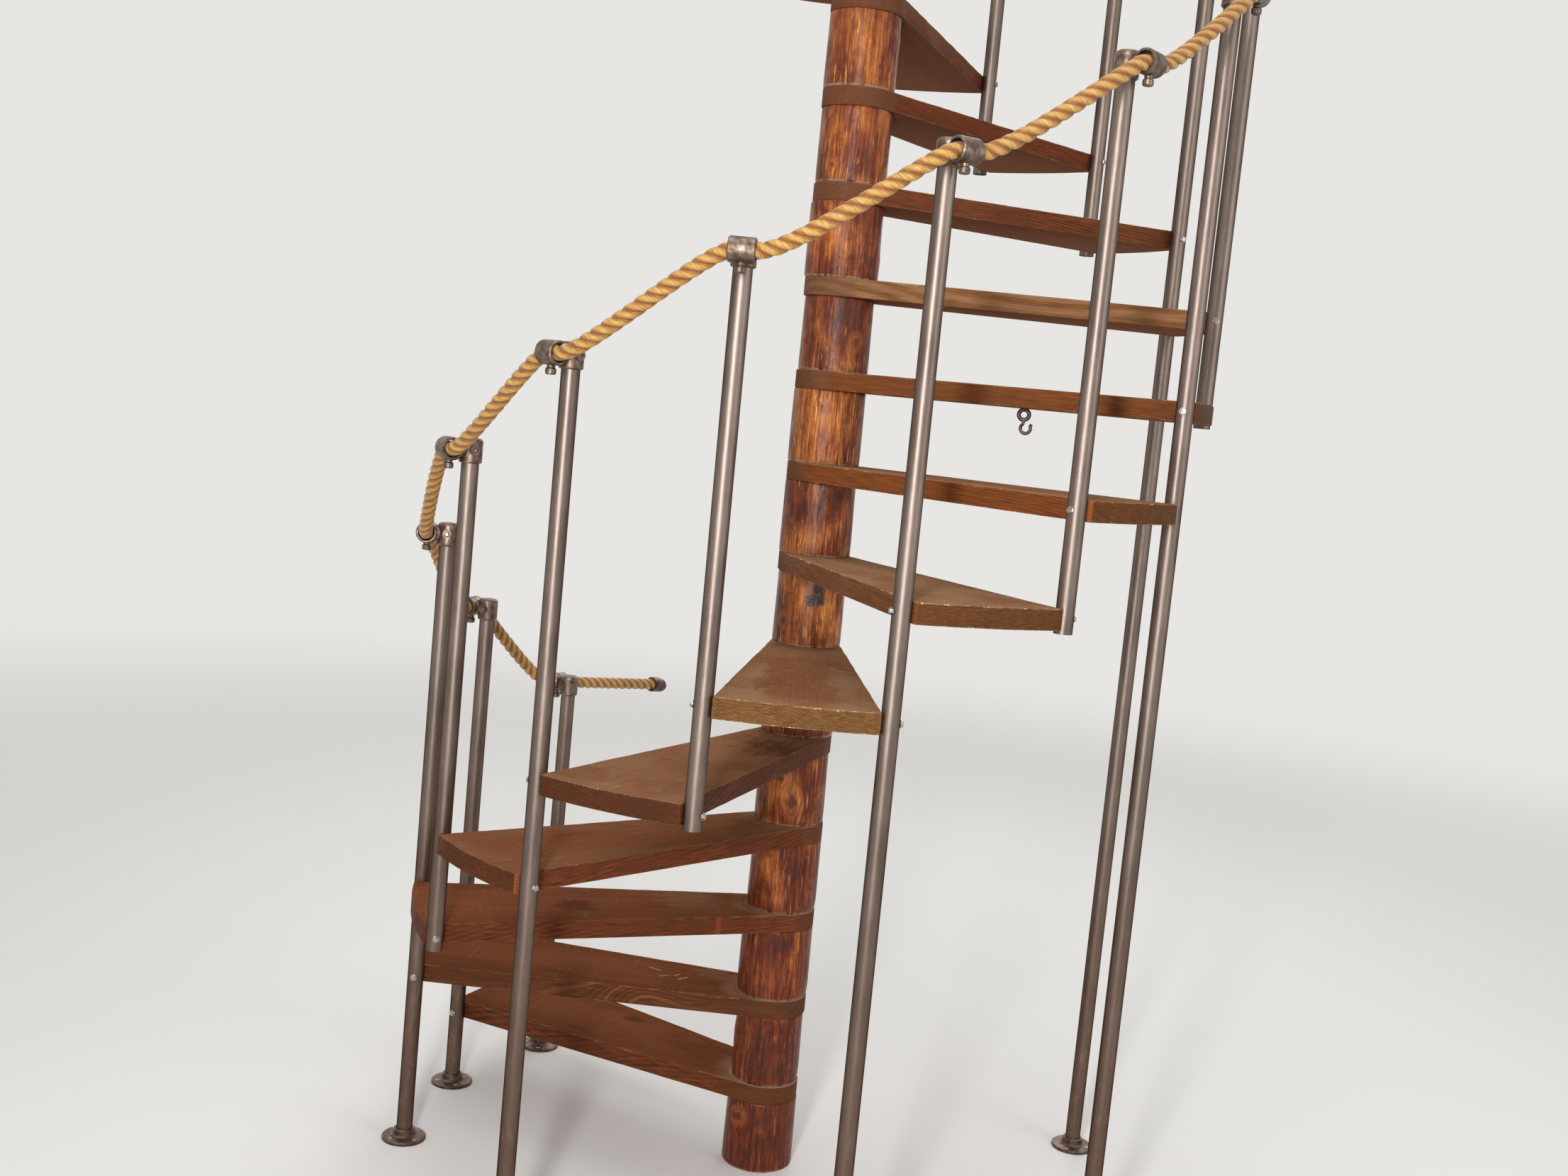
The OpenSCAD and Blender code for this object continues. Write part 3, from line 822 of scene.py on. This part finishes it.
def rope_fibre():
    """Golden fibre: fine yarns that cross the strands, crests made paler as a painted highlight, and
    orange-brown grooves darkened with painted shade.
    """
    p = Paint("rope_fibre", {"Specular IOR Level": 0.55, "Sheen Weight": 0.15, "Sheen Roughness": 0.4})
    p.place = p.attribute("yarn", "Vector")
    rise = p.attribute("crest")
    yarn = p.noise((45, 620, 3), 3.0, 0.65)
    hair = p.noise((80, 1700, 7), 3.0, 0.6)
    tone = yarn * 0.68 + hair * 0.32
    p.colour = tone.ramp((0.36, 114, 66, 17), (0.50, 143, 86, 24), (0.62, 172, 113, 40))
    crest = tone.ramp((0.36, 152, 104, 37), (0.50, 190, 144, 64), (0.62, 226, 195, 114))
    # Painted highlight: paler fibre on the strands' crests
    p.coat((rise + (yarn - 0.5) * 0.7).span(0.58, 1.06), crest)
    p.coat(p.noise((30, 30, 5)).span(0.45, 0.7, 0.0, 0.25), (170, 110, 44))
    # Painted shade: the bottoms of the grooves are darkened
    p.coat(rise.span(0.0, 0.20, 0.65, 0.0), (74, 42, 14))
    return p.finish(tone.span(0.3, 0.7, 0.46, 0.32), p.bump(yarn + hair * 0.5, 0.0012, 0.9))


def twine():
    """Dark tarred twine for the whipping on the rope's end."""
    p = Paint("twine")
    twist = p.noise(800)
    p.colour = twist.ramp((0.35, 70, 50, 34), (0.7, 132, 104, 74))
    return p.finish(0.75, p.bump(twist, 0.0004, 0.7))


# Treads


def tread_outline():
    """Plan of one tread along +X: hub arc, straight sides, outer arc with eased corners."""
    slant = radians(SIDE_SLANT)
    end_half = slant + asin(HUB_R / TREAD_REACH)
    hub = arc(HUB_R, pi / 2 + slant, 3 * pi / 2 - slant, HUB_STEPS)
    root = hub[-1]
    run = Vector((TREAD_REACH * cos(end_half), -TREAD_REACH * sin(end_half))) - root
    steps = int(run.length / SIDE_STEP)
    side = [root + run.normalized() * (i / steps * (run.length - CORNER)) for i in range(1, steps + 1)]
    arc_half = end_half - CORNER / TREAD_REACH
    back = [Vector((q.x, -q.y)) for q in reversed(side)]
    return hub + side + arc(TREAD_REACH, -arc_half, arc_half, END_STEPS) + back


def plank_rows(n, outline):
    """Rows of points from the underside over the side to the top, with uneven eased arrises."""
    nexts = outline[1:] + outline[:1]
    tangents = [after - before for after, before in zip(nexts, outline[-1:] + outline)]
    normals = [Vector((t.y, -t.x)).normalized() for t in tangents]
    seed = Vector((n * 7.3, 0.0, 0.0))
    spots = [Vector((q.x, q.y, 0.0)) * 18 + seed for q in outline]
    top_radii = [EASE * (1.0 + 0.9 * noise.noise(s) + 0.6 * noise.noise(s * 4.1)) for s in spots]
    low_radii = [EASE * (0.8 + 0.5 * noise.noise(s + Vector((0, 9, 0)))) for s in spots]

    def row(part, radii, face_z, inward):
        """Points of a rounded arris: part 0 is on the flat face, 1 on the side."""
        a = part * pi / 2
        points = []
        for q, across, r in zip(outline, normals, radii):
            r = max(0.0006, r)
            inset = r * (1 - sin(a))
            z = face_z + inward * r * (1 - cos(a))
            points.append((q.x - across.x * inset, q.y - across.y * inset, z))
        return points

    parts = [k / EASE_STEPS for k in range(EASE_STEPS + 1)]
    low = [row(part, low_radii, 0.0, 1) for part in parts]
    return low + [row(part, top_radii, TREAD_T, -1) for part in reversed(parts)]


def tread(n, outline, material):
    """One plank, its arrises eased and worn by different amounts along its length."""
    rows = plank_rows(n, outline)
    bm = bmesh.new()
    grid = loft(bm, rows, caps=False)
    _, low, top = bored(bm, BORE_SIDES, TREAD_T)
    for rim, bore in ((grid[0], low), (grid[-1], top)):
        pairs = [pair for row in (rim, bore) for pair in zip(row, row[1:] + row[:1])]
        edges = [bm.edges.get(pair) or bm.edges.new(pair) for pair in pairs]
        bmesh.ops.triangle_fill(bm, edges=edges, use_beauty=True)
    turn = Matrix.Rotation(radians(tread_angle(n)), 4, "Z")
    matrix = Matrix.Translation((0, 0, tread_z(n) - TREAD_T)) @ turn
    obj = piece(f"plank_{n:02d}", bm, material, matrix)
    mark_tread(n, obj, outline, len(rows))
    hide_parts(f"tread_{n:02d}")


def mark_tread(n, obj, outline, row_count):
    """Gives a plank the values that its material reads."""
    assign(obj, number=float(n), piece=random.Random(100 + n).uniform(0, 10))
    assign(obj, **{name: of_all[n - 1] for name, of_all in TREAD_LOOKS.items()})
    assign(obj, **{name: SPOTS.get((n, name), NO_SPOT) for name in ("smudge", "scuff", "patch", "plug")})
    # Only the middle rows of each arris are worn; the bore's rows come last
    wear = []
    for k in range(row_count):
        on_arris = 0 < k % (EASE_STEPS + 1) < EASE_STEPS
        wear += [WORN[n - 1] if on_arris else 0.0] * len(outline)
    wear += [0.0] * (2 * BORE_SIDES)
    end = max(outline, key=lambda q: q.y)
    hand = SAWN_CORNERS.get(n, 0)
    off = [(v.co.x - end.x) ** 2 + (v.co.y - hand * end.y) ** 2 for v in obj.data.vertices]
    assign(obj, wear=wear, corner=[abs(hand) * exp(-d2 / SAWN_R ** 2) for d2 in off])


# Newel


def log_knots(n, rnd):
    """Knots of one log as (angle, height, radius): those of the photo, or else drawn by chance."""
    drawn = []
    for _ in range(rnd.choice((1, 1, 2, 2, 3))):
        angle = rnd.uniform(0, 2 * pi)
        drawn.append((angle, rnd.uniform(0.03, LOG_LEN - 0.03), rnd.uniform(0.009, 0.016)))
    if n in KNOTS:
        return [(radians(angle), height, radius) for angle, height, radius in KNOTS[n]]
    return drawn


def knot_pull(knots, a, z, mean):
    """How the knots near a point of a log raise it, mark it and turn its grain aside."""
    swell, mark, turn = 0.0, 0.0, 0.0
    for angle, height, radius in knots:
        da = angle_from(angle, a)
        dx, dz = da * mean, z - height
        d2 = (dx * dx + dz * dz * 0.7) / (radius * radius)
        push = exp(-d2 * 0.55)
        swell += KNOT_RISE * push
        mark = max(mark, push)
        turn += da * (1.0 / (1.0 + 1.4 * exp(-d2 * 0.35)) - 1.0) * exp(-d2 * 0.12)
    return swell, mark, turn


def stain_at(n, a, z, mean):
    """Level of the dark stain at a point of a log, above 0 inside its two leaning rectangles."""
    level = 0.0
    for angle, height, half_w, half_h in STAIN if n == STAINED_LOG else ():
        dx, dz = angle_from(radians(angle), a) * mean, z - height
        level = max(level, 0.65 - max(abs(dx + 0.1 * dz) / half_w, abs(dz) / half_h))
    return level


def tone_at(n, a, z, mean):
    """Sum of the golden and smoky places at a point of a log."""
    level = 0.0
    for angle, height, radius, amount in TONES.get(n, ()):
        dx, dz = angle_from(radians(angle), a) * mean, z - height
        level += amount * exp(-(dx ** 2 + dz ** 2) / (radius * radius))
    return level


def newel_log(n, material):
    """One peeled log, slightly uneven, with knots that the grain flows round."""
    rnd = random.Random(300 + n)
    knots = log_knots(n, rnd)
    mean = (LOG_D + LOG_VARY * sin(radians(n * 137))) / 2
    narrow = DRAW_IN_MORE.get(n, DRAW_IN)
    lean, off = rnd.uniform(0, 2 * pi), rnd.uniform(0.0004, 0.0014)
    seed = Vector((n * 5.1, n * 2.7, 0.0))
    rings, grain, marks, stains, tones = [], [], [], [], []
    eased = [LOG_EASE + (LOG_LEN - 2 * LOG_EASE) * i / LOG_ROWS for i in range(LOG_ROWS + 1)]
    for z in [0.0] + eased + [LOG_LEN]:
        ring = []
        for a in turns(LOG_SIDES):
            here = Vector((cos(a), sin(a), 0.0))
            lumps = LUMP * noise.noise(here * 1.6 + Vector((0, 0, z * 7)) + seed)
            flutes = FLUTE * noise.noise(here * 7.0 + Vector((0, 0, z * 5)) + seed)
            swell, mark, turn = knot_pull(knots, a, z, mean)
            base = mean + LOG_TAPER / 4 * (1 - 2 * z / LOG_LEN)
            r = base + lumps + flutes + swell - SINK + off * cos(a - lean)
            r -= narrow * exp(-z / 0.012)
            if z in (0.0, LOG_LEN):
                r -= LOG_EASE * 0.8
            ring.append((r * cos(a), r * sin(a), z))
            grain.append((mean * cos(a + turn), mean * sin(a + turn), z))
            marks.append(mark)
            stains.append(stain_at(n, a, z, mean))
            tones.append(tone_at(n, a, z, mean))
        rings.append(ring)
    bm = bmesh.new()
    outer = loft(bm, rings, caps=False)
    rims, low, top = bored(bm, LOG_SIDES, LOG_LEN)
    bridge(bm, low, outer[0])
    bridge(bm, outer[-1], top)
    obj = piece(f"log_{n:02d}", bm, material, Matrix.Translation((0, 0, tread_z(n - 1))))
    inside = [0.0] * (2 * LOG_SIDES)
    assign(obj, knot=marks + inside, stain=stains + inside, tone=tones + inside)
    assign(obj, grain=grain + rims[0] + rims[1], piece=rnd.uniform(0, 10), deep=DEEP[n - 1])
    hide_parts(f"newel_log_{n:02d}")


# Rope


def rope_line():
    """Centre line of the rope from the wall to its free end, in points about 3 mm apart."""
    way = Vector((cos(radians(WALL_ANGLE)), sin(radians(WALL_ANGLE)), 0))
    wall_run = (WALL_DIST - in_ring(0, 0).dot(way)) / ring_dir(0).dot(way)
    slant = radians(WALL_ANGLE - arm_angle(0) + 90)
    start = wall_run + (ROPE_D / 2 + ROPE_GAP) * tan(slant) + WALL_WEB + ROPE_GAP
    line = [in_ring(0, start), in_ring(0, -RING_LEN / 2)]
    for n in range(TREADS):
        a, d = in_ring(n, RING_LEN / 2), in_ring(n + 1, -RING_LEN / 2)
        b, c = a + ROPE_BEND * ring_dir(n), d - ROPE_BEND * ring_dir(n + 1)
        for i in range(41):
            t = i / 40
            point = (1 - t) ** 3 * a + 3 * (1 - t) ** 2 * t * b + 3 * (1 - t) * t * t * c + t ** 3 * d
            line.append(point - Vector((0, 0, 4 * ROPE_SAG * t * (1 - t))))
    line += [in_ring(TREADS, RING_LEN / 2), in_ring(TREADS, RING_LEN / 2 + TAIL_LEN)]
    return smooth_line(line, 0.003, 4)


def smooth_line(line, step, rounds):
    """Resamples a line at even steps and rounds off its small corners."""
    even, left = [line[0]], step
    for a, b in zip(line, line[1:]):
        length = (b - a).length
        while left <= length:
            even.append(a.lerp(b, left / length))
            left += step
        left -= length
    even.append(line[-1])
    for _ in range(rounds):
        middle = [(p + 2 * q + r) / 4 for p, q, r in zip(even, even[1:], even[2:])]
        even = [even[0]] + middle + [even[-1]]
    return even


def rope(material):
    """Three-strand laid rope: one skin whose three lobes turn once in each lay."""
    line = smooth_line(rope_line(), ROPE_STEP, 0)
    radius = ROPE_D / 2
    strand_arc = 2 * pi / 3
    across = sqrt(1 + YARN_SLANT ** 2)
    rings, yarn, crest = [], [], []
    run = 0.0
    for i, at in enumerate(line):
        side, lift = side_and_lift(heading(line, i))
        if i:
            run += (at - line[i - 1]).length
        twist = -2 * pi * run / ROPE_LAY
        ring = []
        for a in turns(3 * LOBE_SIDES):
            strand = round(a / strand_arc)
            off = a - strand * strand_arc
            depth = (abs(off) / (strand_arc / 2)) ** GROOVE_POWER
            r = radius * (1 - GROOVE * depth)
            r *= 1 + 0.010 * noise.noise(Vector((run * 40, 6 * cos(a), 6 * sin(a))))
            ring.append(at + r * (cos(a + twist) * side + sin(a + twist) * lift))
            u = radius * off
            yarn.append(((run - YARN_SLANT * u) / across, (u + YARN_SLANT * run) / across, strand % 3))
            crest.append(1 - depth)
        rings.append(ring)
    bm = bmesh.new()
    loft(bm, rings)
    obj = piece("laid_rope", bm, material)
    assign(obj, yarn=yarn, crest=crest)
    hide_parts("rope_handrail")


def whipping(material):
    """Turns of twine that keep the rope's free end from opening."""
    middle = in_ring(TREADS, RING_LEN / 2 + TAIL_LEN - WHIP_BACK)
    direction = ring_dir(TREADS)
    side, lift = side_and_lift(direction)
    path = []
    for i in range(WHIP_TURNS * WHIP_POINTS + 1):
        a = 2 * pi * i / WHIP_POINTS
        s = (i / WHIP_POINTS - WHIP_TURNS / 2) * TWINE_R * 2
        path += ring_round(middle + direction * s, ROPE_D / 2 + 0.0002, side, lift, [a])
    rings = []
    for i, at in enumerate(path):
        out = (at - middle - direction * (at - middle).dot(direction)).normalized()
        rings.append(ring_round(at, TWINE_R, out, heading(path, i).cross(out), turns(8)))
    bm = bmesh.new()
    loft(bm, rings)
    piece("whipping", bm, material)


# Fasteners


def hex_head(bm, matrix):
    """Hex head with a chamfered crown on a thin washer, standing on Z = 0."""
    washer = [(0.0001, -0.002), (WASHER_R, -0.0002), (WASHER_R, 0.0010), (WASHER_R - 0.0006, 0.0014)]
    lathe(bm, washer + [(0.0001, 0.0014)], 28, matrix)
    corner = BOLT_FLATS / 2 / cos(pi / 6)
    crown = [(corner * 0.90, BOLT_H), (corner * 0.55, BOLT_H + 0.0003)]
    lathe(bm, [(corner, 0.0012), (corner, BOLT_H - 0.0010)] + crown, 6, matrix)


def lag_bolts(material):
    """The two bolts of each pipe: into the tread below on one side and the tread above on the other."""
    bm = bmesh.new()
    rnd = random.Random(7)
    s = radians(SIDE_SLANT)
    for n in range(TREADS + 1):
        for tread_n, side in ((n, 1), (n + 1, -1)):
            if not 1 <= tread_n <= TREADS:
                continue
            out = Vector((-sin(s), side * cos(s), 0))
            out.rotate(Matrix.Rotation(radians(tread_angle(tread_n)), 3, "Z"))
            at = post_at(n, tread_z(tread_n) - TREAD_T / 2) + out * (PIPE_R + 0.0003)
            hex_head(bm, along(out, at) @ Matrix.Rotation(rnd.uniform(0, pi / 3), 4, "Z"))
    piece("lag_bolts", bm, material, smooth=False)


def set_screw(bm, matrix, length):
    """Threaded screw with a hex recess in its end; the end lies at Z = 0 and it runs down -Z."""
    r = BOSS_HOLE_R - 0.0002
    profile = [(r - 0.0009, 0.0), (r - 0.0002, -0.0007)]
    z = -0.0010
    while z > -length:
        profile += [(r, z), (r - 0.0006, z - SCREW_PITCH / 2)]
        z -= SCREW_PITCH
    face = lathe(bm, [(0.0001, -length)] + profile[::-1], SCREW_SIDES, matrix)[-1]
    bm.faces.remove(next(f for f in face[0].link_faces if len(f.verts) == SCREW_SIDES))
    mouth, depth = [], []
    for a in turns(SCREW_SIDES):
        w = RECESS_FLATS / 2 / cos((a + pi / 6) % (pi / 3) - pi / 6)
        for row, z in ((mouth, 0.0), (depth, -RECESS_DEPTH)):
            row.append(bm.verts.new(matrix @ Vector((w * cos(a), w * sin(a), z))))
    bridge(bm, face, mouth)
    bridge(bm, mouth, depth)
    bm.faces.new(depth)


def set_screws(material):
    """Screws that hold each fitting on its pipe and the rope in its ring."""
    bm = bmesh.new()
    for n in range(TREADS + 1):
        up_hill = ring_dir(n, 0)
        at = post_at(n, ring_z(n))
        set_screw(bm, along(up_hill, at + up_hill * (SOCKET_R + BOSS_H - SCREW_SUNK)), 0.0085)
        low = at + polar(RING_ARM, arm_angle(n)) - UP * (RING_R + RING_BOSS_H - SCREW_SUNK)
        set_screw(bm, along(-UP, low), 0.018)
    piece("set_screws", bm, material, smooth=False)


def tube(bm, path, r):
    """Round bar along a list of points, closed at both ends."""
    rings = []
    side = heading(path, 0).orthogonal()
    for i, at in enumerate(path):
        ahead = heading(path, i)
        side = (side - ahead * side.dot(ahead)).normalized()
        rings.append(ring_round(at, r, side, ahead.cross(side), turns(10)))
    loft(bm, rings)


def tread_hook(material):
    """Screw eye with an open hook hanging from it, under the ninth tread's front edge."""
    bm = bmesh.new()
    here = polar(HOOK_OUT, HOOK_ANGLE, tread_z(HOOK_TREAD) - TREAD_T)
    across, down = polar(1.0, HOOK_FACE), -UP
    eye = here + down * (EYE_R + EYE_WIRE - 0.0008)
    round_eye = [radians(9 * k) for k in range(41)]
    tube(bm, ring_round(eye, EYE_R, -down, across, round_eye), EYE_WIRE)
    tube(bm, [here - down * 0.016, here + down * 0.004], 0.0030)
    collar = [(0.0001, 0.0), (0.0072, 0.0), (0.0072, 0.0012), (0.0040, 0.0026), (0.0001, 0.0026)]
    lathe(bm, collar, 20, along(down, here + down * 0.0002))
    start = eye + down * (EYE_R - 0.001)
    centre = start + down * (BEND_R + 0.0075) + across * 0.0055
    bend = ring_round(centre, BEND_R, across, -down, [radians(125 + 262 * k / 26) for k in range(27)])
    tip = bend[-1] - down * 0.0045 + across * 0.0022
    tube(bm, [start, start + down * 0.003] + bend + [tip], BEND_WIRE)
    piece("tread_hook", bm, material)


def pan_head(bm, m):
    """Domed head with a sawn slot."""
    half = PAN_SLOT / 2
    dome = [(PAN_R, 0.0003), (PAN_R, 0.0012), (PAN_R * 0.86, 0.0022), (PAN_R * 0.6, 0.0028)]
    for side in (1, -1):
        rows = []
        for r, z in dome:
            edge = asin(half / r)
            points = [(q.x, side * q.y, z) for q in arc(r, edge, pi - edge, 12)]
            rows.append([bm.verts.new(m @ Vector(q)) for q in points])
        for low, high in zip(rows, rows[1:]):
            for j in range(12):
                bm.faces.new((low[j], low[j + 1], high[j + 1], high[j]))
        bm.faces.new(rows[-1])
        bm.faces.new([row[0] for row in rows] + [row[-1] for row in reversed(rows)])
        bm.faces.new(rows[0])
    long = PAN_R * 0.98
    slot = [(-long, -half), (long, -half), (long, half), (-long, half)]
    low, top = ([bm.verts.new(m @ Vector((x, y, z))) for x, y in slot] for z in (0.0003, 0.0012))
    bridge(bm, low, top)
    bm.faces.new(top)
    bm.faces.new(low)


def floor_screws(material):
    """Slotted pan head screws in the floor flanges."""
    bm = bmesh.new()
    rnd = random.Random(11)
    for n in FLOOR_POSTS:
        for k in range(4):
            at = post_at(n, FLANGE_T) + polar(FLANGE_PCD / 2, post_angle(n) + 45 + 90 * k)
            pan_head(bm, Matrix.Translation(at) @ Matrix.Rotation(rnd.uniform(0, pi), 4, "Z"))
    piece("floor_screws", bm, material, smooth=False)


# Stage, light and camera


def camera():
    """The photograph's viewpoint, from a fit of its camera to the stair."""
    yaw, pitch, roll = (radians(a) for a in EYE_TURN)
    ahead = Vector((sin(yaw) * cos(pitch), cos(yaw) * cos(pitch), sin(pitch)))
    right, up = side_and_lift(ahead)
    x = cos(roll) * right + sin(roll) * up
    y = -sin(roll) * right + cos(roll) * up
    data = bpy.data.cameras.new("camera")
    data.sensor_width = SENSOR
    data.lens = LENS
    bpy.context.scene.camera = placed("camera", data, axes(x, y, -ahead, EYE))


def lamp(name, at, toward, width, height, watts, spread):
    data = bpy.data.lights.new(name, "AREA")
    data.shape = "ELLIPSE"
    data.size = width
    data.size_y = height
    data.energy = watts
    data.spread = radians(spread)
    back = (Vector(at) - Vector(toward)).normalized()
    side = UP.cross(back).normalized()
    placed(name, data, axes(side, back.cross(side), back, at))


def world_light():
    """Even light, and a pale background for what the camera and the metal see."""
    world = bpy.data.worlds.new("studio")
    w = Nodes(world)
    w.tree.nodes.clear()
    ray = w.add("LightPath").outputs
    seen = Value(w, ray["Is Glossy Ray"]) + ray["Is Transmission Ray"]
    seen = seen.math("ADD", ray["Is Camera Ray"], clamp=True)
    glow = w.take("Background", {"Color": WORLD_TONE, "Strength": WORLD_STRENGTH})
    backdrop = w.take("Background", {"Color": FLOOR_TONE, "Strength": 1.0})
    mixed = w.take("MixShader", {0: seen, 1: glow, 2: backdrop})
    w.add("OutputWorld", {"Surface": mixed})
    bpy.context.scene.world = world


def floor():
    """Pale floor that fades into the backdrop away from the stair."""
    bm = bmesh.new()
    bmesh.ops.create_circle(bm, cap_ends=True, segments=96, radius=FLOOR_R)
    mesh = bpy.data.meshes.new("floor")
    bm.to_mesh(mesh)
    bm.free()
    p = Paint("floor", {"Base Color": (0.94, 0.93, 0.91, 1.0), "Roughness": 0.75, "Specular IOR Level": 0.2})
    x, y, _ = p.xyz(p.here)
    glow = p.take("Emission", {"Color": FLOOR_TONE, "Strength": 1.0})
    mixed = p.take("MixShader", {0: distance(x, y).span(*FADE), 1: p.shader.outputs[0], 2: glow})
    p.put(p.tree.nodes["Material Output"].inputs["Surface"], mixed)
    mesh.materials.append(p.material)
    placed("floor", mesh)


def paint_node(name, material):
    """Gives a carried-over CAD node its material."""
    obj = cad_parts[name]
    obj.data.materials.clear()
    obj.data.materials.append(material)


camera()
world_light()
for settings in LAMPS:
    lamp(*settings)
floor()

WOOD = tread_wood()
LOG = log_wood()
PIPE = pipe_steel()
CASTING = cast_iron("casting", (80, 65, 56), (134, 115, 101), 0.15)
IRON = cast_iron("dark_iron", (60, 49, 44), (104, 87, 77), 0.52)
BRIGHT = plated_steel()

PLAN = tread_outline()
for number in range(1, TREADS + 1):
    tread(number, PLAN, WOOD)
for number in range(1, TREADS + 2):
    newel_log(number, LOG)
for number in FLOOR_POSTS:
    paint_node(f"floor_post_{number:02d}", PIPE)
for node, its_material in (
    ("short_balusters", PIPE), ("newel_rod", PIPE), ("newel_nut", BRIGHT), ("newel_cap", WOOD),
    ("rope_rings", CASTING), ("floor_flanges", IRON), ("newel_foot_plate", IRON), ("rope_wall_socket", IRON),
):
    paint_node(node, its_material)
rope(rope_fibre())
whipping(twine())
lag_bolts(BRIGHT)
set_screws(BRIGHT)
floor_screws(BRIGHT)
tread_hook(IRON)

bpy.context.scene.view_settings.view_transform = "Standard"
